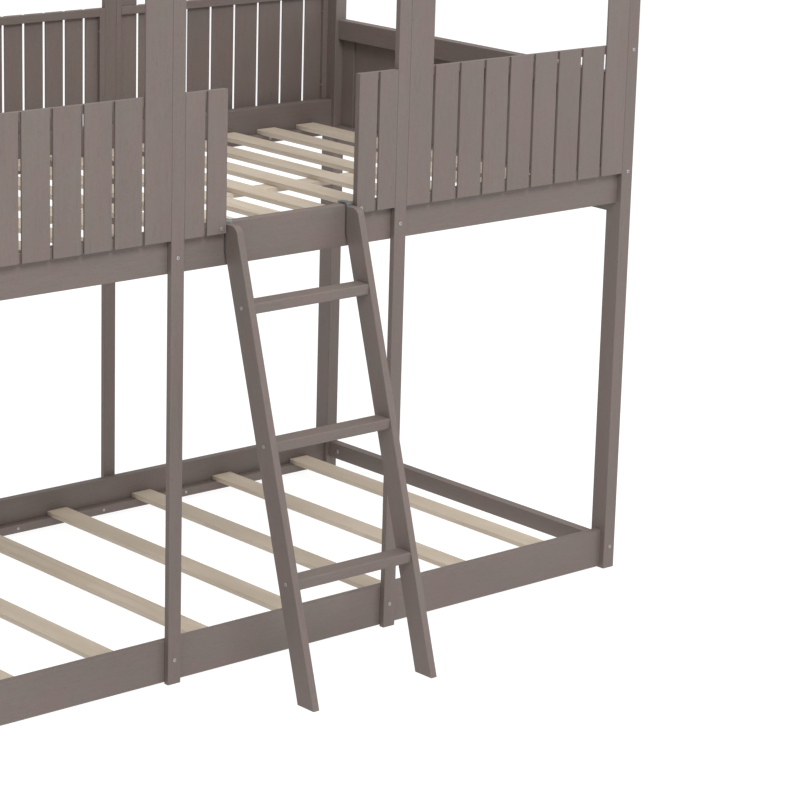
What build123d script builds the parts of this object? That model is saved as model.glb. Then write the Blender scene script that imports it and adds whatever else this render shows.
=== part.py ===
"""House-style bunk bed with a lift-off ladder: two sleeping decks in a timber frame.

X runs along the bed, Y from front to back and Z up. The origin is on the floor, in the middle
of the bed and its ladder. Every piece of timber, slat and fastener is a solid of its own.
"""

import os
from math import cos, radians, tan

from build123d import *

# ---- driving dimensions, in millimetres ----
bed_length = 1988.0
bed_depth = 1055.0
overall_height = 2140.0
ladder_reach = 299.0  # from the front of the posts to the front of the ladder's feet
edge_radius = 1.5  # eased edges of painted timber

post_width = 33.5
post_depth = 45.0
mid_post_width = 32.5
mid_post_centre = 295.25
rail_thickness = 20.0
rail_height = 89.0
lower_rail_bottom = 3.0
upper_rail_bottom = 870.5
lower_end_rail_bottom = 31.0
lower_end_rail_height = 40.0

board_thickness = 5.0
cleat_thickness = 9.0
cleat_height = 19.0
stile_width = 15.0
stile_edge_radius = 0.8
joint_gap = 0.3  # hairline left where the pieces of one panel frame meet
guard_top = 1234.0
board_gap = 6.9
side_board_count = 9
middle_board_count = 10
door_board_count = 2
end_guard_bottom = 845.4
end_guard_top = 1160.0
end_guard_rail_height = 48.0
end_stile_width = 44.0

slat_width = 57.0
slat_thickness = 11.5
slat_end_gap = 1.5
upper_slat_count = 15
upper_slat_pitch = 125.0
lower_slat_count = 8
lower_slat_pitch = 250.0
ledger_size = 20.0
ledger_half_length = 905.0
ledger_bottoms = {"lower": 11.5, "upper": 876.0}
batten_width = 45.0
batten_front = 480.0  # from the front of the posts

roof_pitch = 40.0  # degrees
rafter_depth = 45.0
ridge_thickness = 20.0

ladder_width = 338.0
stringer_thickness = 17.0
stringer_foot = 51.0  # front to back, on the floor
stringer_lean = 0.286  # run per unit of rise
stringer_back_cut = 900.0  # where the back edge turns upright
stringer_top = 957.0
stringer_nose_radius = 20.0
tread_tops = (258.0, 531.0, 804.0)
tread_thickness = 22.0
tread_depth = 42.0
tread_edge_radius = 2.5
hook_thickness = 4.0
hook_leg = 30.0
hook_screw_heights = (914.0, 943.0)
running_gap = 0.4  # between the hooks and the rail that they hang on

bolt_head_radius = 4.25
bolt_shank_radius = 3.0
bolt_head_height = 2.2
bolt_recess = 1.2
bolt_socket_radius = 2.0
long_bolt_length = 90.0
short_bolt_length = 30.0
tread_bolt_length = 52.0
screw_head_radius = 3.6
screw_shank_radius = 1.8
screw_length = 28.0
batten_screw_length = 19.0
hole_clearance = 0.15
barrel_nut_radius = 5.0
barrel_nut_length = 15.0
barrel_nut_setback = 35.0  # from the end of the rail
dowel_radius = 4.0
dowel_length = 60.0

# heights of the bolts and dowels above the underside of the rail that they hold
side_bolt_offsets = {"lower": (20.0, 71.0), "upper": (20.0,)}
side_dowel_offset = 60.0  # in the upper rails, above the bolt
mid_bolt_offsets = {"lower": 49.0, "upper": 33.5}
guard_bolt_heights = (943.0, 1220.0)
door_bolt_inset = 12.0
door_bolt_height = 950.0
stile_screw_heights = (995.0, 1180.0)
ledger_screw_pitch = 250.0

# ---- places worked out from them ----
end_x = bed_length / 2
post_in_x = end_x - post_width
mid_in_x = mid_post_centre - mid_post_width / 2
mid_out_x = mid_post_centre + mid_post_width / 2
panel_thickness = board_thickness + cleat_thickness
rail_inner = panel_thickness + rail_thickness  # the side rails' inner face, from outside
bolt_proud = bolt_head_height - bolt_recess
front_y = -(bed_depth + bolt_proud - ladder_reach) / 2
centre_y = front_y + bed_depth / 2
foot_y = front_y - ladder_reach
end_rail_outer = end_x - board_thickness
end_rail_inner = end_rail_outer - rail_thickness
end_rail_centre_x = end_rail_inner + rail_thickness / 2
upper_rail_top = upper_rail_bottom + rail_height
board_bottom = upper_rail_top - cleat_height
slat_bottoms = {level: bottom + ledger_size for level, bottom in ledger_bottoms.items()}
batten_bottom = slat_bottoms["upper"] - slat_thickness

roof_slope = tan(radians(roof_pitch))
rafter_plumb = rafter_depth / cos(radians(roof_pitch))
rafter_heel = rafter_plumb - roof_slope * post_depth
roof_run = bed_depth / 2 - ridge_thickness / 2
eave_z = overall_height - roof_slope * roof_run - rafter_heel
plate_bottom = eave_z - rail_height

ladder_half = ladder_width / 2
stringer_back = panel_thickness - running_gap - hook_thickness

SIDES = (("front", -1), ("back", 1))
HANDS = (("left", -1), ("right", 1))
RAIL_BOTTOMS = {"lower": lower_rail_bottom, "upper": upper_rail_bottom}
END_RAILS = {  # outer face, underside and height
    "lower": (end_x, lower_end_rail_bottom, lower_end_rail_height),
    "upper": (end_rail_outer, end_guard_bottom, end_guard_rail_height),
    "eave": (end_rail_outer, plate_bottom, rail_height),
}


def depth(side, distance):
    """Y of a point that distance inside the outer face of the front (-1) or back (1)."""
    return centre_y + side * (bed_depth / 2 - distance)


def depths(side, outer, inner):
    """The Y limits of a piece between two distances inside that outer face."""
    return depth(side, outer), depth(side, inner)


def timber(x, y, z, along, radius=edge_radius):
    """Add a straight length of timber between limits, its long edges eased."""
    (x0, x1), (y0, y1), (z0, z1) = sorted(x), sorted(y), sorted(z)
    start, centre, section, length = {
        "x": (Plane.YZ.offset(x0), ((y0 + y1) / 2, (z0 + z1) / 2), (y1 - y0, z1 - z0), x1 - x0),
        "y": (Plane.XZ.offset(-y1), ((x0 + x1) / 2, (z0 + z1) / 2), (x1 - x0, z1 - z0), y1 - y0),
        "z": (Plane.XY.offset(z0), ((x0 + x1) / 2, (y0 + y1) / 2), (x1 - x0, y1 - y0), z1 - z0),
    }[along]
    with BuildSketch(start) as profile:
        with Locations(centre):
            RectangleRounded(*section, radius)
    extrude(profile.sketch, amount=length)


def cut(shape, places):
    """Take a shape out of the current piece at each place."""
    with Locations(*places):
        add(shape, mode=Mode.SUBTRACT)


def save(piece, name):
    piece.part.label = name
    export_step(piece.part, f"parts/{name}.step")


os.makedirs("parts", exist_ok=True)

# ==== fasteners: each stands on the timber's face at z = 0 and reaches down -Z ====
DOWN = (Align.CENTER, Align.CENTER, Align.MAX)
UP = (Align.CENTER, Align.CENTER, Align.MIN)


def bolt(length):
    """A round-headed bolt with a hexagon socket, its head half sunk in the timber."""
    with BuildPart() as blank:
        Cylinder(bolt_shank_radius, length, align=DOWN)
        with Locations((0, 0, -bolt_recess)):
            Cylinder(bolt_head_radius, bolt_head_height, align=UP)
        fillet(blank.edges().group_by(Axis.Z)[-1], 0.7)
        with BuildSketch(Plane.XY.offset(bolt_proud)):
            RegularPolygon(bolt_socket_radius, 6)
        extrude(amount=-1.4, mode=Mode.SUBTRACT)
    return blank.part


def bolt_hole(length):
    with BuildPart() as tool:
        Cylinder(bolt_shank_radius + hole_clearance, length + hole_clearance, align=DOWN)
        with Locations((0, 0, -bolt_recess)):
            Cylinder(bolt_head_radius + hole_clearance, 2 * bolt_recess, align=UP)
    return tool.part


def countersunk(head_radius, shank_radius, length):
    Cylinder(shank_radius, length, align=DOWN)
    with Locations((0, 0, -shank_radius)):
        Cone(shank_radius, head_radius, shank_radius, align=UP)


def screw(length):
    with BuildPart() as blank:
        countersunk(screw_head_radius, screw_shank_radius, length)
        with BuildSketch():
            Rectangle(3.2, 0.8)
            Rectangle(0.8, 3.2)
        extrude(amount=-1.0, mode=Mode.SUBTRACT)
    return blank.part


def screw_hole(length):
    with BuildPart() as tool:
        countersunk(
            screw_head_radius + hole_clearance,
            screw_shank_radius + hole_clearance,
            length + hole_clearance,
        )
    return tool.part


with BuildPart() as nut_blank:
    Cylinder(barrel_nut_radius, barrel_nut_length, align=DOWN)
    with BuildSketch():
        Rectangle(2 * barrel_nut_radius, 1.0)
    extrude(amount=-1.2, mode=Mode.SUBTRACT)
    with Locations((0, 0, -rail_thickness / 2)):
        Cylinder(
            bolt_shank_radius + hole_clearance,
            3 * barrel_nut_radius,
            rotation=(0, 90, 0),
            mode=Mode.SUBTRACT,
        )

with BuildPart() as nut_hole:
    Cylinder(
        barrel_nut_radius + hole_clearance, barrel_nut_length + hole_clearance, align=DOWN
    )

with BuildPart() as dowel_blank:
    Cylinder(dowel_radius, dowel_length)
    chamfer(dowel_blank.edges().filter_by(GeomType.CIRCLE), 1.0)

with BuildPart() as dowel_hole:
    Cylinder(dowel_radius + hole_clearance, dowel_length + 2 * hole_clearance)

long_bolt_hole = bolt_hole(long_bolt_length)
short_bolt_hole = bolt_hole(short_bolt_length)
tread_bolt_hole = bolt_hole(tread_bolt_length)
wood_screw_hole = screw_hole(screw_length)
batten_screw_hole = screw_hole(batten_screw_length)


def facing(point, outward, along=None):
    """A place on a face at that point, whose Z points out of the face."""
    return Plane(origin=point, x_dir=along, z_dir=outward)


long_bolt_places, nut_places = [], []
for _, side in SIDES:
    for _, hand in HANDS:
        side_heights = [
            RAIL_BOTTOMS[level] + offset for level in RAIL_BOTTOMS for offset in side_bolt_offsets[level]
        ] + [plate_bottom + rail_height / 2]
        end_heights = (
            lower_end_rail_bottom + lower_end_rail_height / 2,
            plate_bottom + rail_height / 4,
        )
        side_rail_y = depth(side, panel_thickness + rail_thickness / 2)
        for z in side_heights:
            long_bolt_places.append(facing((hand * end_x, side_rail_y, z), (hand, 0, 0)))
            nut_point = (hand * (post_in_x - barrel_nut_setback), depth(side, rail_inner), z)
            nut_places.append(facing(nut_point, (0, -side, 0), (1, 0, 0)))
        for z in end_heights:
            long_bolt_places.append(
                facing((hand * end_rail_centre_x, depth(side, 0), z), (0, side, 0))
            )
            nut_point = (
                hand * end_rail_inner,
                depth(side, post_depth + barrel_nut_setback),
                z,
            )
            nut_places.append(facing(nut_point, (-hand, 0, 0), (0, 1, 0)))

short_bolt_places = []
for _, side in SIDES:
    for _, hand in HANDS:
        mid_heights = [RAIL_BOTTOMS[level] + mid_bolt_offsets[level] for level in RAIL_BOTTOMS] + [
            plate_bottom + rail_height / 2
        ]
        for z in mid_heights:
            short_bolt_places.append(
                facing((hand * mid_post_centre, depth(side, 0), z), (0, side, 0))
            )
        for z in guard_bolt_heights:
            short_bolt_places.append(
                facing((hand * end_rail_centre_x, depth(side, 0), z), (0, side, 0))
            )

middle_span = 2 * mid_in_x
side_span = post_in_x - mid_out_x
middle_board = (middle_span - (middle_board_count - 1) * board_gap) / middle_board_count
side_board = (side_span - (side_board_count - 1) * board_gap) / side_board_count
door_span = door_board_count * (middle_board + board_gap) - board_gap
door_edge_x = mid_in_x - door_span
for _, hand in HANDS:
    short_bolt_places.append(
        facing(
            (hand * (door_edge_x + door_bolt_inset), depth(-1, 0), door_bolt_height), (0, -1, 0)
        )
    )

# screws through the panel stiles into the posts beside them
stile_y = board_thickness + cleat_thickness / 2
screw_places = []
for _, side in SIDES:
    for _, hand in HANDS:
        for z in stile_screw_heights:
            for x, facing_x in (
                (mid_in_x - stile_width, -hand),
                (mid_out_x + stile_width, hand),
                (post_in_x - stile_width, -hand),
            ):
                screw_places.append(facing((hand * x, depth(side, stile_y), z), (facing_x, 0, 0)))

# screws through the ledgers into the side rails
for bottom in ledger_bottoms.values():
    for _, side in SIDES:
        for step in range(-3, 4):
            point = (
                step * ledger_screw_pitch,
                depth(side, rail_inner + ledger_size),
                bottom + ledger_size / 2,
            )
            screw_places.append(facing(point, (0, -side, 0)))

# screws up through the batten into each upper slat
batten_screw_places = [
    facing(
        (
            (number - (upper_slat_count - 1) / 2) * upper_slat_pitch,
            depth(-1, batten_front + batten_width / 2),
            batten_bottom,
        ),
        (0, 0, -1),
    )
    for number in range(upper_slat_count)
]

rafter_lines = [
    (hand * inner, hand * (inner + width))
    for _, hand in HANDS
    for inner, width in ((post_in_x, post_width), (mid_in_x, mid_post_width))
]
dowel_places = []
for inner, outer in rafter_lines:
    line_x = (inner + outer) / 2
    dowel_places.append(facing((line_x, centre_y, overall_height - rafter_plumb / 2), (0, 1, 0)))
    for _, side in SIDES:
        foot = post_depth / 2 if abs(line_x) > mid_out_x else panel_thickness + rail_thickness / 2
        dowel_places.append(facing((line_x, depth(side, foot), eave_z), (0, 0, 1)))
for _, hand in HANDS:
    for _, side in SIDES:
        side_rail_y = depth(side, panel_thickness + rail_thickness / 2)
        z = upper_rail_bottom + side_dowel_offset
        dowel_places.append(facing((hand * post_in_x, side_rail_y, z), (1, 0, 0)))
        for z in (
            end_guard_bottom + end_guard_rail_height / 2,
            end_guard_top - end_guard_rail_height / 2,
        ):
            dowel_places.append(
                facing((hand * end_rail_centre_x, depth(side, post_depth), z), (0, 1, 0))
            )

# ==== posts ====
for side_name, side in SIDES:
    for hand_name, hand in HANDS:
        with BuildPart() as corner_post:
            timber((hand * post_in_x, hand * end_x), depths(side, 0, post_depth), (0, eave_z), "z")
            cut(long_bolt_hole, long_bolt_places)
            cut(short_bolt_hole, short_bolt_places)
            cut(wood_screw_hole, screw_places)
            cut(dowel_hole.part, dowel_places)
        save(corner_post, f"corner_post_{side_name}_{hand_name}")

        with BuildPart() as mid_post:
            timber(
                (hand * mid_in_x, hand * mid_out_x), depths(side, 0, panel_thickness), (0, eave_z), "z"
            )
            cut(short_bolt_hole, short_bolt_places)
            cut(wood_screw_hole, screw_places)
        save(mid_post, f"mid_post_{side_name}_{hand_name}")

# ==== rails, eave plates and end ties, at three levels ====
for level, bottom in {**RAIL_BOTTOMS, "eave": plate_bottom}.items():
    end_outer, end_bottom, end_height = END_RAILS[level]
    for side_name, side in SIDES:
        with BuildPart() as side_rail:
            timber(
                (-post_in_x, post_in_x),
                depths(side, panel_thickness, rail_inner),
                (bottom, bottom + rail_height),
                "x",
            )
            cut(long_bolt_hole, long_bolt_places)
            cut(short_bolt_hole, short_bolt_places)
            cut(nut_hole.part, nut_places)
            cut(wood_screw_hole, screw_places)
            cut(dowel_hole.part, dowel_places)
        save(side_rail, f"{level}_rail_{side_name}")
    for hand_name, hand in HANDS:
        with BuildPart() as end_rail:
            timber(
                (hand * end_rail_inner, hand * end_outer),
                (depth(-1, post_depth), depth(1, post_depth)),
                (end_bottom, end_bottom + end_height),
                "y",
            )
            cut(long_bolt_hole, long_bolt_places)
            cut(nut_hole.part, nut_places)
            cut(dowel_hole.part, dowel_places)
        save(end_rail, f"{level}_rail_{hand_name}")

# ==== ledgers and slats ====
for level, bottom in ledger_bottoms.items():
    for side_name, side in SIDES:
        with BuildPart() as ledger:
            timber(
                (-ledger_half_length, ledger_half_length),
                depths(side, rail_inner, rail_inner + ledger_size),
                (bottom, bottom + ledger_size),
                "x",
            )
            cut(wood_screw_hole, screw_places)
        save(ledger, f"{level}_ledger_{side_name}")


def slats(count, pitch, bottom):
    """A row of loose slats from one side rail to the other."""
    length = bed_depth - 2 * (rail_inner + slat_end_gap)
    with BuildPart() as row:
        with BuildSketch(Plane.XZ.offset(-centre_y - length / 2)):
            with Locations((0, bottom + slat_thickness / 2)):
                with GridLocations(pitch, 0, count, 1):
                    RectangleRounded(slat_width, slat_thickness, edge_radius)
        extrude(amount=length)
    return row


save(slats(lower_slat_count, lower_slat_pitch, slat_bottoms["lower"]), "lower_slats")

with BuildPart() as upper_slats:
    add(slats(upper_slat_count, upper_slat_pitch, slat_bottoms["upper"]).part)
    cut(batten_screw_hole, batten_screw_places)
save(upper_slats, "upper_slats")

with BuildPart() as upper_slat_batten:
    timber(
        (-ledger_half_length, ledger_half_length),
        (depth(-1, batten_front), depth(-1, batten_front + batten_width)),
        (batten_bottom, batten_bottom + slat_thickness),
        "x",
    )
    cut(batten_screw_hole, batten_screw_places)
save(upper_slat_batten, "upper_slat_batten")


# ==== guard panels: thin upright boards on a frame of cleats and stiles ====
def board_row(start, step, count, width, y, top_of):
    """Upright boards from start on, each as high as top_of says for its number."""
    for number in range(count):
        first = start + step * number * (width + board_gap)
        timber((first, first + step * width), y, (board_bottom, top_of(number)), "z")


def cleat(x, side, z):
    timber(x, depths(side, board_thickness, panel_thickness), z, "x")


def stile(x, side, z):
    timber(x, depths(side, board_thickness, panel_thickness), z, "z", stile_edge_radius)


def panel_frame(inner, outer, hand, side, top):
    """Bottom cleat, two stiles and the top cleat between them."""
    clear = stile_width + joint_gap
    stile_z = (upper_rail_top + joint_gap, top)
    cleat((hand * inner, hand * outer), side, (board_bottom, upper_rail_top))
    stile((hand * inner, hand * (inner + stile_width)), side, stile_z)
    stile((hand * (outer - stile_width), hand * outer), side, stile_z)
    cleat((hand * (inner + clear), hand * (outer - clear)), side, (guard_top - cleat_height, guard_top))


def side_board_top(number):
    """The first and last boards of a side section run up beside its window to the eaves."""
    return eave_z if number in (0, side_board_count - 1) else guard_top


for side_name, side in SIDES:
    for hand_name, hand in HANDS:
        with BuildPart() as side_boards:
            board_row(
                hand * mid_out_x,
                hand,
                side_board_count,
                side_board,
                depths(side, 0, board_thickness),
                side_board_top,
            )
        save(side_boards, f"side_boards_{side_name}_{hand_name}")

        with BuildPart() as side_frame:
            panel_frame(mid_out_x, post_in_x, hand, side, plate_bottom - joint_gap)
            cleat((hand * mid_out_x, hand * post_in_x), side, (plate_bottom, eave_z))
            cut(wood_screw_hole, screw_places)
            cut(short_bolt_hole, short_bolt_places)
        save(side_frame, f"side_frame_{side_name}_{hand_name}")

with BuildPart() as window_headers:
    clear = side_board + board_gap / 2
    for _, side in SIDES:
        for _, hand in HANDS:
            timber(
                (hand * (mid_out_x + clear), hand * (post_in_x - clear)),
                depths(side, 0, board_thickness),
                (plate_bottom, eave_z),
                "x",
            )
save(window_headers, "window_headers")

with BuildPart() as middle_boards:
    board_row(
        -mid_in_x,
        1,
        middle_board_count,
        middle_board,
        depths(1, 0, board_thickness),
        lambda number: guard_top,
    )
save(middle_boards, "middle_boards_back")

with BuildPart() as middle_frame:
    panel_frame(-mid_in_x, mid_in_x, 1, 1, guard_top)
    cut(wood_screw_hole, screw_places)
save(middle_frame, "middle_frame_back")

with BuildPart() as door_boards:
    for _, hand in HANDS:
        board_row(
            hand * mid_in_x,
            -hand,
            door_board_count,
            middle_board,
            depths(-1, 0, board_thickness),
            lambda number: guard_top,
        )
    cut(short_bolt_hole, short_bolt_places)
save(door_boards, "door_boards")

with BuildPart() as door_frames:
    for _, hand in HANDS:
        panel_frame(door_edge_x, mid_in_x, hand, -1, guard_top)
    cut(wood_screw_hole, screw_places)
    cut(short_bolt_hole, short_bolt_places)
save(door_frames, "door_frames")

# ==== end guards: a thin panel outside two rails and two stiles ====
with BuildPart() as end_panels:
    for _, hand in HANDS:
        timber(
            (hand * end_rail_outer, hand * end_x),
            (depth(-1, post_depth), depth(1, post_depth)),
            (end_guard_bottom, end_guard_top),
            "z",
        )
save(end_panels, "end_panels")

with BuildPart() as end_top_rails:
    for _, hand in HANDS:
        timber(
            (hand * end_rail_inner, hand * end_rail_outer),
            (depth(-1, post_depth), depth(1, post_depth)),
            (end_guard_top - end_guard_rail_height, end_guard_top),
            "y",
        )
    cut(dowel_hole.part, dowel_places)
save(end_top_rails, "end_top_rails")

with BuildPart() as end_stiles:
    for _, hand in HANDS:
        for _, side in SIDES:
            timber(
                (hand * (end_rail_outer - board_thickness), hand * end_rail_outer),
                depths(side, post_depth, post_depth + end_stile_width),
                (end_guard_bottom + end_guard_rail_height, end_guard_top - end_guard_rail_height),
                "z",
                stile_edge_radius,
            )
save(end_stiles, "end_stiles")

# ==== roof ====
for side_name, side in SIDES:
    with BuildPart() as rafters:
        for x0, x1 in rafter_lines:
            with BuildSketch(Plane.YZ.offset(min(x0, x1))):
                with BuildLine():
                    Polyline(
                        (depth(side, 0), eave_z),
                        (depth(side, 0), eave_z + rafter_heel),
                        (depth(side, roof_run), overall_height),
                        (depth(side, roof_run), overall_height - rafter_plumb),
                        (depth(side, post_depth), eave_z),
                        close=True,
                    )
                make_face()
            extrude(amount=abs(x1 - x0))
        slopes = rafters.edges().filter_by(lambda edge: edge.length > roof_run)
        fillet(slopes, edge_radius)
        cut(dowel_hole.part, dowel_places)
    save(rafters, f"rafters_{side_name}")

with BuildPart() as ridge_beam:
    timber(
        (-end_x, end_x),
        (depth(-1, roof_run), depth(1, roof_run)),
        (overall_height - rail_height, overall_height),
        "x",
    )
    cut(dowel_hole.part, dowel_places)
save(ridge_beam, "ridge_beam")


# ==== ladder ====
def lean(z):
    """How far inside the front of the posts the stringers' front edge is, at that height."""
    return stringer_lean * z - ladder_reach


tread_lines = []
for top in tread_tops:
    middle_z = top - tread_thickness / 2
    tread_lines.append((lean(middle_z) + stringer_foot / 2, middle_z))

tread_bolt_places = [
    facing((hand * ladder_half, depth(-1, line), z), (hand, 0, 0))
    for line, z in tread_lines
    for _, hand in HANDS
]
hook_screw_places = [
    facing(
        (hand * (ladder_half - stringer_thickness / 2), depth(-1, stringer_back + hook_thickness), z),
        (0, 1, 0),
    )
    for z in hook_screw_heights
    for _, hand in HANDS
]

for hand_name, hand in HANDS:
    x0 = min(hand * ladder_half, hand * (ladder_half - stringer_thickness))
    with BuildPart() as stringer:
        with BuildSketch(Plane.YZ.offset(x0)) as outline:
            with BuildLine():
                Polyline(
                    (depth(-1, -ladder_reach), 0),
                    (depth(-1, stringer_foot - ladder_reach), 0),
                    (depth(-1, stringer_back), stringer_back_cut),
                    (depth(-1, stringer_back), stringer_top),
                    (depth(-1, lean(stringer_top)), stringer_top),
                    close=True,
                )
            make_face()
            nose = outline.vertices().group_by(Axis.Y)[-1].sort_by(Axis.X)[0]
            fillet(nose, stringer_nose_radius)
        extrude(amount=stringer_thickness)
        sides = stringer.faces().filter_by(Axis.X)
        fillet(sides.edges(), edge_radius)
        cut(tread_bolt_hole, tread_bolt_places)
        cut(wood_screw_hole, hook_screw_places)
    save(stringer, f"ladder_stringer_{hand_name}")

tread_x = ladder_half - stringer_thickness
for number, (line, z) in enumerate(tread_lines, start=1):
    with BuildPart() as tread:
        timber(
            (-tread_x, tread_x),
            (depth(-1, line - tread_depth / 2), depth(-1, line + tread_depth / 2)),
            (z - tread_thickness / 2, z + tread_thickness / 2),
            "x",
            tread_edge_radius,
        )
        cut(tread_bolt_hole, tread_bolt_places)
    save(tread, f"ladder_tread_{number}")

hook_top = upper_rail_top + running_gap + hook_thickness
leg_back = rail_inner + running_gap + hook_thickness
with BuildPart() as ladder_hooks:
    for _, hand in HANDS:
        x0 = min(hand * ladder_half, hand * (ladder_half - stringer_thickness))
        with BuildSketch(Plane.YZ.offset(x0)):
            with BuildLine():
                Polyline(
                    (depth(-1, stringer_back), stringer_back_cut),
                    (depth(-1, stringer_back), hook_top),
                    (depth(-1, leg_back), hook_top),
                    (depth(-1, leg_back), upper_rail_top - hook_leg),
                    (depth(-1, leg_back - hook_thickness), upper_rail_top - hook_leg),
                    (depth(-1, leg_back - hook_thickness), hook_top - hook_thickness),
                    (depth(-1, stringer_back + hook_thickness), hook_top - hook_thickness),
                    (depth(-1, stringer_back + hook_thickness), stringer_back_cut),
                    close=True,
                )
            make_face()
        extrude(amount=stringer_thickness)
    bends = ladder_hooks.edges().filter_by(Axis.X).group_by(Axis.Z)[-1]
    fillet(bends, hook_thickness * 0.6)
    cut(wood_screw_hole, hook_screw_places)
save(ladder_hooks, "ladder_hooks")

# ==== fasteners in their places ====
fasteners = {
    "long_bolts": (bolt(long_bolt_length), long_bolt_places),
    "short_bolts": (bolt(short_bolt_length), short_bolt_places),
    "barrel_nuts": (nut_blank.part, nut_places),
    "wood_screws": (screw(screw_length), screw_places),
    "batten_screws": (screw(batten_screw_length), batten_screw_places),
    "dowels": (dowel_blank.part, dowel_places),
    "ladder_bolts": (bolt(tread_bolt_length), tread_bolt_places),
    "hook_screws": (screw(screw_length), hook_screw_places),
}
for name, (shape, places) in fasteners.items():
    with BuildPart() as group:
        with Locations(*places):
            add(shape)
    save(group, name)
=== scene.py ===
"""Looks for the house-shaped bunk bed: painted timber, bare pine slats and zinc-plated steel."""

import bpy
from math import cos, radians, sin
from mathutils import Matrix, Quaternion, Vector

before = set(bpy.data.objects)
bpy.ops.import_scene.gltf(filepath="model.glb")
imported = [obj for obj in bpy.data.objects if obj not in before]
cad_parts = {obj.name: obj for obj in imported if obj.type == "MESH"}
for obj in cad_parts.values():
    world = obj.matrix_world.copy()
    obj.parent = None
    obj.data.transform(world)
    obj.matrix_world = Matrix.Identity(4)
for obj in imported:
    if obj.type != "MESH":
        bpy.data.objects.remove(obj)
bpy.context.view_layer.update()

# ---- directions the grain runs in, in the row frame ----
ALONG_X, ALONG_Y, UPRIGHT = Vector((1, 0, 0)), Vector((0, 1, 0)), Vector((0, 0, 1))
ROOF_PITCH = radians(40)
STRINGER_LEAN = 0.286  # run per unit of rise
FRONT_SLOPE = Vector((0, cos(ROOF_PITCH), sin(ROOF_PITCH)))
BACK_SLOPE = Vector((0, -cos(ROOF_PITCH), sin(ROOF_PITCH)))
LADDER_SLOPE = Vector((0, STRINGER_LEAN, 1)).normalized()

# ---- rows of equal pieces inside one node: direction, start and pitch of the cells, metres ----
SIDE_PITCH, MIDDLE_PITCH = 0.07288, 0.05649
UPPER_SLAT_PITCH, LOWER_SLAT_PITCH = 0.125, 0.25
LEFT_ROW = (ALONG_X, -0.96395, SIDE_PITCH)
RIGHT_ROW = (ALONG_X, 0.30805, SIDE_PITCH)
MIDDLE_ROW = (ALONG_X, -0.28245, MIDDLE_PITCH)
UPPER_SLAT_ROW = (ALONG_X, -UPPER_SLAT_PITCH / 2, UPPER_SLAT_PITCH)
LOWER_SLAT_ROW = (ALONG_X, 0.0, LOWER_SLAT_PITCH)
RAFTER_ROW = (ALONG_X, -1.2, 0.6)
ONE_PIECE = (ALONG_X, -10.0, 100.0)  # one cell that holds the whole bed

# ---- the random number of each piece ----
NODE_SPREAD = 61.7  # sets the cells of one node apart from those of another
SEED = 3.1
GRAIN_SHIFT = 9.0  # metres, the most that a piece's grain is shifted by

# ---- linear colours ----
PAINT_WARM = (0.149, 0.114, 0.104, 1.0)
PAINT_COOL = (0.141, 0.117, 0.104, 1.0)
PINE_PALE = (0.495, 0.425, 0.345, 1.0)
PINE_WARM = (0.45, 0.38, 0.30, 1.0)
PINE_LATE = (0.35, 0.275, 0.20, 1.0)
ZINC = (0.40, 0.39, 0.385, 1.0)
# painted light: a paler copy of the same zinc, used only on the barrel nuts so they show brighter
# than the shade of the inner faces around them
ZINC_PAINTED_LIGHT = (0.62, 0.61, 0.60, 1.0)
ZINC_GREEN = (0.24, 0.265, 0.25, 1.0)
FLOOR_GREY = (0.16, 0.16, 0.16, 1.0)
WHITE = (1.0, 1.0, 1.0, 1.0)

# ---- pine's growth rings, metres ----
RING_WIDTH = 0.0062
PITH_OFFSET = (0.14, 0.09)  # the most that the pith lies to one side, across the grain
RING_WANDER, RING_RIPPLE = 0.022, 0.0015

# ---- bump heights, metres ----
TIMBER_RELIEF = 0.0003
SCRATCH_RELIEF = 0.00008


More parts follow.
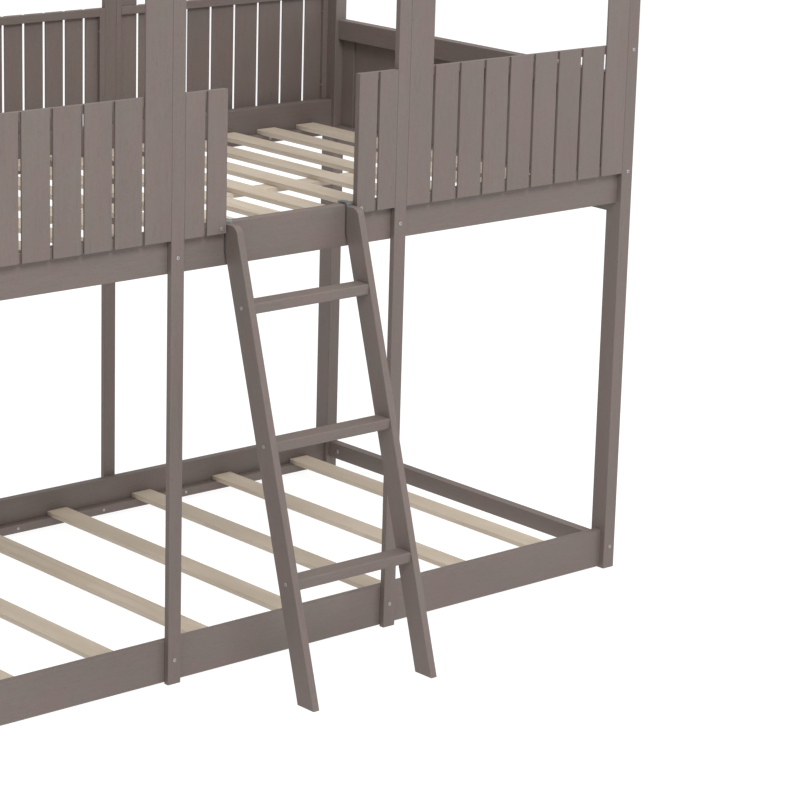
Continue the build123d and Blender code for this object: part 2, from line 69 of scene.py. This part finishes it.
class Shader:
    """A material whose colour, roughness and bump come from noise laid along a grain direction."""

    def __init__(self, name, specular=0.5, metallic=0.0):
        self.material = bpy.data.materials.new(name)
        self.material.use_nodes = True
        self.tree = self.material.node_tree
        self.tree.nodes.clear()
        output = self.add("ShaderNodeOutputMaterial")
        self.surface = self.add("ShaderNodeBsdfPrincipled")
        self.surface.inputs["Specular IOR Level"].default_value = specular
        self.surface.inputs["Metallic"].default_value = metallic
        self.tree.links.new(self.surface.outputs[0], output.inputs["Surface"])

    def add(self, kind, **settings):
        node = self.tree.nodes.new(kind)
        for key, value in settings.items():
            setattr(node, key, value)
        return node

    def feed(self, socket, value):
        if isinstance(value, bpy.types.NodeSocket):
            self.tree.links.new(value, socket)
        else:
            socket.default_value = value

    def math(self, operation, *values):
        node = self.add("ShaderNodeMath", operation=operation)
        for socket, value in zip(node.inputs, values):
            self.feed(socket, value)
        return node.outputs[0]

    def vector(self, operation, *values):
        node = self.add("ShaderNodeVectorMath", operation=operation)
        for socket, value in zip(node.inputs, values):
            self.feed(socket, value)
        return node.outputs["Value" if operation in ("DOT_PRODUCT", "LENGTH") else "Vector"]

    def combine(self, *values):
        node = self.add("ShaderNodeCombineXYZ")
        for socket, value in zip(node.inputs, values):
            self.feed(socket, value)
        return node.outputs[0]

    def noise(self, at, scale, detail, roughness):
        node = self.add("ShaderNodeTexNoise")
        for name, value in (
            ("Vector", at),
            ("Scale", scale),
            ("Detail", detail),
            ("Roughness", roughness),
        ):
            self.feed(node.inputs[name], value)
        return node.outputs["Fac"]

    def fibres(self, at, along, scale, detail, roughness):
        """Noise drawn out along the grain; along is its scale there, as a share of that across."""
        return self.noise(self.vector("MULTIPLY", at, (1.0, 1.0, along)), scale, detail, roughness)

    def spread(self, value, low, high, out_low=0.0, out_high=1.0, smooth=True):
        """The value's low-to-high range carried over to another range."""
        kind = "SMOOTHSTEP" if smooth else "LINEAR"
        node = self.add("ShaderNodeMapRange", interpolation_type=kind)
        for socket, number in zip(node.inputs, (value, low, high, out_low, out_high)):
            self.feed(socket, number)
        return node.outputs["Result"]

    def vary(self, value, reach, centre=0.0):
        """A noise's middle range carried over to centre, give or take reach."""
        return self.spread(value, 0.3, 0.7, centre - reach, centre + reach)

    def blend(self, share, first, second, mode="MIX"):
        node = self.add("ShaderNodeMix", data_type="RGBA", blend_type=mode)
        self.feed(node.inputs["Factor"], share)
        self.feed(node.inputs["A"], first)
        self.feed(node.inputs["B"], second)
        return node.outputs["Result"]

    def shaded(self, colour, shade):
        return self.blend(1.0, colour, self.combine(shade, shade, shade), "MULTIPLY")

    def grain_space(self, grain, row):
        """Coordinates with Z along the grain, and a random vector for each piece of the row."""
        coordinates = self.add("ShaderNodeTexCoord").outputs["Object"]
        across = grain.orthogonal().normalized()
        third = grain.cross(across)
        own = self.combine(
            *(self.vector("DOT_PRODUCT", coordinates, tuple(v)) for v in (across, third, grain))
        )
        direction, start, pitch = row
        place = self.vector("DOT_PRODUCT", coordinates, tuple(direction))
        cell = self.math("DIVIDE", self.math("SUBTRACT", place, start), pitch)
        number = self.math("FLOOR", cell)
        random = self.add("ShaderNodeObjectInfo").outputs["Random"]
        node_number = self.math("MULTIPLY", random, NODE_SPREAD)
        white = self.add("ShaderNodeTexWhiteNoise", noise_dimensions="3D")
        self.feed(white.inputs["Vector"], self.combine(number, node_number, SEED))
        return own, white.outputs["Color"]

    def tone(self, chance, weights, low, high):
        """A brightness of its own for each piece."""
        mixed = self.vector("DOT_PRODUCT", chance, weights)
        return self.spread(mixed, 0.0, 1.0, low, high, smooth=False)

    def bump(self, height, distance, strength):
        node = self.add("ShaderNodeBump")
        self.feed(node.inputs["Height"], height)
        self.feed(node.inputs["Distance"], distance)
        self.feed(node.inputs["Strength"], strength)
        self.feed(self.surface.inputs["Normal"], node.outputs[0])

    def finish(self, colour, roughness):
        self.feed(self.surface.inputs["Base Color"], colour)
        self.feed(self.surface.inputs["Roughness"], roughness)
        return self.material


def painted(name, grain, row=ONE_PIECE):
    """Thin greige paint over pine: the grain telegraphs through as fine streaks and pores."""
    s = Shader(name, specular=0.32)
    own, chance = s.grain_space(grain, row)
    at = s.vector("MULTIPLY_ADD", chance, (GRAIN_SHIFT, GRAIN_SHIFT, GRAIN_SHIFT), own)

    cloud = s.fibres(at, 0.45, 21.0, 3.0, 0.55)
    drift = s.fibres(at, 0.3, 7.0, 2.0, 0.5)
    streak = s.fibres(at, 0.05, 150.0, 5.0, 0.62)
    fibre = s.fibres(at, 0.035, 620.0, 2.0, 0.5)
    pore = s.spread(s.fibres(at, 0.12, 330.0, 1.0, 0.4), 0.63, 0.74)
    speck = s.fibres(at, 0.55, 300.0, 3.0, 0.6)

    colour = s.blend(s.spread(cloud, 0.34, 0.66), PAINT_WARM, PAINT_COOL)
    shade = s.math("ADD", s.vary(drift, 0.035, 1.0), s.vary(streak, 0.03))
    shade = s.math("ADD", shade, s.vary(fibre, 0.03))
    shade = s.math("ADD", shade, s.vary(speck, 0.04))
    shade = s.math("SUBTRACT", shade, s.math("MULTIPLY", pore, 0.10))
    shade = s.math("MULTIPLY", shade, s.tone(chance, (0.4, 0.35, 0.25), 0.97, 1.03))

    height = s.math("ADD", s.math("MULTIPLY", streak, 0.5), s.math("MULTIPLY", fibre, 0.35))
    height = s.math("SUBTRACT", height, s.math("MULTIPLY", pore, 0.35))
    s.bump(height, TIMBER_RELIEF, 0.45)
    return s.finish(s.shaded(colour, shade), s.spread(streak, 0.3, 0.7, 0.47, 0.6))


def bare_pine(name, grain, row):
    """Sanded pine: growth rings cut along their length, and fine fibres."""
    s = Shader(name, specular=0.3)
    own, chance = s.grain_space(grain, row)
    at = s.vector("MULTIPLY_ADD", chance, (0.0, 0.0, GRAIN_SHIFT), own)
    pith = s.vector("MULTIPLY_ADD", chance, (*PITH_OFFSET, 0.0), at)
    wander = s.fibres(at, 0.22, 9.0, 2.0, 0.5)
    ripple = s.fibres(at, 0.08, 60.0, 2.0, 0.5)
    radius = s.vector("LENGTH", s.vector("MULTIPLY", pith, (1.0, 1.0, 0.0)))
    radius = s.math("ADD", radius, s.math("MULTIPLY", wander, RING_WANDER))
    radius = s.math("ADD", radius, s.math("MULTIPLY", ripple, RING_RIPPLE))
    phase = s.math("FRACT", s.math("DIVIDE", radius, RING_WIDTH))
    late = s.math("MULTIPLY", s.spread(phase, 0.35, 0.9), s.spread(phase, 0.93, 1.0, 1.0, 0.0))

    fibre = s.fibres(at, 0.02, 500.0, 3.0, 0.6)
    cloud = s.fibres(at, 0.3, 16.0, 2.0, 0.5)
    colour = s.blend(s.spread(cloud, 0.35, 0.68), PINE_PALE, PINE_WARM)
    colour = s.blend(s.math("MULTIPLY", late, 0.30), colour, PINE_LATE)
    tone = s.tone(chance, (0.5, 0.3, 0.2), 0.94, 1.06)
    shade = s.math("MULTIPLY", tone, s.vary(fibre, 0.045, 1.0))

    height = s.math("ADD", s.math("MULTIPLY", late, -0.3), s.math("MULTIPLY", fibre, 0.6))
    s.bump(height, TIMBER_RELIEF, 0.5)
    return s.finish(s.shaded(colour, shade), s.spread(fibre, 0.3, 0.7, 0.55, 0.7))


def zinc(name, tint, smoothest, roughest):
    """Dull zinc plate: cloudy, with fine scratches."""
    s = Shader(name, metallic=1.0)
    own, _ = s.grain_space(UPRIGHT, ONE_PIECE)
    cloud = s.noise(own, 240.0, 3.0, 0.6)
    scratch = s.fibres(own, 0.04, 2600.0, 2.0, 0.6)
    shade = s.math("ADD", s.vary(cloud, 0.1, 0.96), s.spread(scratch, 0.35, 0.65, -0.05, 0.05))
    s.bump(scratch, SCRATCH_RELIEF, 0.5)
    return s.finish(s.shaded(tint, shade), s.spread(cloud, 0.3, 0.7, smoothest, roughest))


# ---- one material for each direction and row of pieces ----
painted_rail = painted("painted_rail", ALONG_X)
painted_end_rail = painted("painted_end_rail", ALONG_Y)
painted_post = painted("painted_post", UPRIGHT)
pine_upper = bare_pine("pine_upper", ALONG_Y, UPPER_SLAT_ROW)
pine_lower = bare_pine("pine_lower", ALONG_Y, LOWER_SLAT_ROW)
beech = bare_pine("beech", UPRIGHT, ONE_PIECE)
plated = zinc("plated", ZINC, 0.40, 0.56)
# the barrel nuts are the same zinc as the other bolts; this paler copy is painted light that
# brightens them against the shaded inner faces
nut_plate_painted_light = zinc("nut_plate_painted_light", ZINC_PAINTED_LIGHT, 0.50, 0.65)
hook_plate = zinc("hook_plate", ZINC_GREEN, 0.42, 0.62)

FINISHES = {  # by the start of the node's name
    "corner_post": painted_post,
    "mid_post": painted_post,
    "side_boards_front_left": painted("painted_boards_left", UPRIGHT, LEFT_ROW),
    "side_boards_front_right": painted("painted_boards_right", UPRIGHT, RIGHT_ROW),
    "middle_boards": painted("painted_boards_middle", UPRIGHT, MIDDLE_ROW),
    "end_panel": painted_post,
    "end_stiles": painted_post,
    "rafters_front": painted("painted_rafters_front", FRONT_SLOPE, RAFTER_ROW),
    "rafters_back": painted("painted_rafters_back", BACK_SLOPE, RAFTER_ROW),
    "ladder_stringer": painted("painted_stringer", LADDER_SLOPE),
    "ladder_tread": painted_rail,
    "ridge_beam": painted_rail,
    "window_headers": painted_rail,
    "side_frame": painted_rail,
    "middle_frame": painted_rail,
    "door_frames": painted_rail,
    "lower_ledger": painted_rail,
    "upper_ledger": painted_rail,
    "end_top_rail": painted_end_rail,
    "upper_slats": pine_upper,
    "upper_slat_batten": bare_pine("pine_batten", ALONG_X, ONE_PIECE),
    "lower_slats": pine_lower,
    "dowels": beech,
    "ladder_hooks": hook_plate,
    "hook_screws": plated,
    "batten_screws": plated,
    "ladder_bolts": plated,
    "long_bolts": plated,
    "short_bolts": plated,
    "barrel_nuts": nut_plate_painted_light,
    "wood_screws": plated,
}
FINISHES["side_boards_back_left"] = FINISHES["side_boards_front_left"]
FINISHES["side_boards_back_right"] = FINISHES["side_boards_front_right"]
FINISHES["door_boards"] = FINISHES["middle_boards"]
for level in ("lower", "upper", "eave"):
    for place in ("front", "back"):
        FINISHES[f"{level}_rail_{place}"] = painted_rail
    for place in ("left", "right"):
        FINISHES[f"{level}_rail_{place}"] = painted_end_rail


def finish_of(name):
    for start, material in FINISHES.items():
        if name.startswith(start):
            return material
    raise KeyError(f"no finish for {name}")


for name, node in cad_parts.items():
    material = finish_of(name)
    node.data.materials.clear()
    node.data.materials.append(material)

# ---- floor: it glows a little, so that no shadow shows on it ----
FLOOR_SIZE = 120  # metres
FLOOR_GLOW = 0.93

bpy.ops.mesh.primitive_plane_add(size=FLOOR_SIZE, location=(0, 0, 0))
floor = bpy.context.object
floor.name = "floor"
pale = Shader("pale_floor", specular=0.1)
pale.feed(pale.surface.inputs["Emission Color"], WHITE)
pale.feed(pale.surface.inputs["Emission Strength"], FLOOR_GLOW)
floor.data.materials.append(pale.finish(FLOOR_GREY, 0.9))

# ---- light: a white room, which lights the bed a little less than it shows ----
ROOM_SHOWN, ROOM_LIGHT = 1.0, 0.6

world = bpy.data.worlds.new("studio")
bpy.context.scene.world = world
world.use_nodes = True
room = world.node_tree
room.nodes.clear()
shown, lit = (room.nodes.new("ShaderNodeBackground") for _ in range(2))
for background, strength in ((shown, ROOM_SHOWN), (lit, ROOM_LIGHT)):
    background.inputs["Color"].default_value = WHITE
    background.inputs["Strength"].default_value = strength
either = room.nodes.new("ShaderNodeMixShader")
room.links.new(room.nodes.new("ShaderNodeLightPath").outputs["Is Camera Ray"], either.inputs[0])
room.links.new(lit.outputs[0], either.inputs[1])
room.links.new(shown.outputs[0], either.inputs[2])
room.links.new(either.outputs[0], room.nodes.new("ShaderNodeOutputWorld").inputs["Surface"])


def away(azimuth, elevation):
    """A direction from the bed, in radians; azimuth 0 is in front of it, 90 degrees its right."""
    level = cos(elevation)
    return Vector((sin(azimuth) * level, -cos(azimuth) * level, sin(elevation)))


def area_light(name, location, target, side, power):
    data = bpy.data.lights.new(name, "AREA")
    data.shape, data.size, data.size_y = "RECTANGLE", side, side
    data.energy = power
    light = bpy.data.objects.new(name, data)
    bpy.context.scene.collection.objects.link(light)
    light.location = location
    light.rotation_mode = "QUATERNION"
    light.rotation_quaternion = (Vector(target) - Vector(location)).to_track_quat("-Z", "Y")
    light.visible_camera = False


BED_CENTRE = Vector((0, -0.1, 0.9))
LIGHT_DISTANCE, LIGHT_SIDE = 8, 3  # metres
for name, azimuth, elevation, power in (
    ("front_left_high", -20, 45, 455),
    ("right_high", 80, 45, 90),
    ("right_low", 50, 5, 50),
):
    place = BED_CENTRE + LIGHT_DISTANCE * away(radians(azimuth), radians(elevation))
    area_light(name, place, BED_CENTRE, LIGHT_SIDE, power)
area_light("overhead", (0, 0, 7), (0, 0, 0), 6, 210)

# ---- camera ----
camera_data = bpy.data.cameras.new("camera")
camera = bpy.data.objects.new("camera", camera_data)
bpy.context.scene.collection.objects.link(camera)
bpy.context.scene.camera = camera
camera.location = (-3.869, -5.064, 2.236)
view = -away(radians(-41.721), radians(15.34))
roll = radians(1.657)
camera.rotation_mode = "QUATERNION"
camera.rotation_quaternion = view.to_track_quat("-Z", "Y") @ Quaternion((0, 0, 1), roll)
camera_data.sensor_width = 36.0
camera_data.lens = 135.8
camera_data.clip_start, camera_data.clip_end = 0.1, 200

view_settings = bpy.context.scene.view_settings
view_settings.view_transform = "Standard"
view_settings.look = "None"
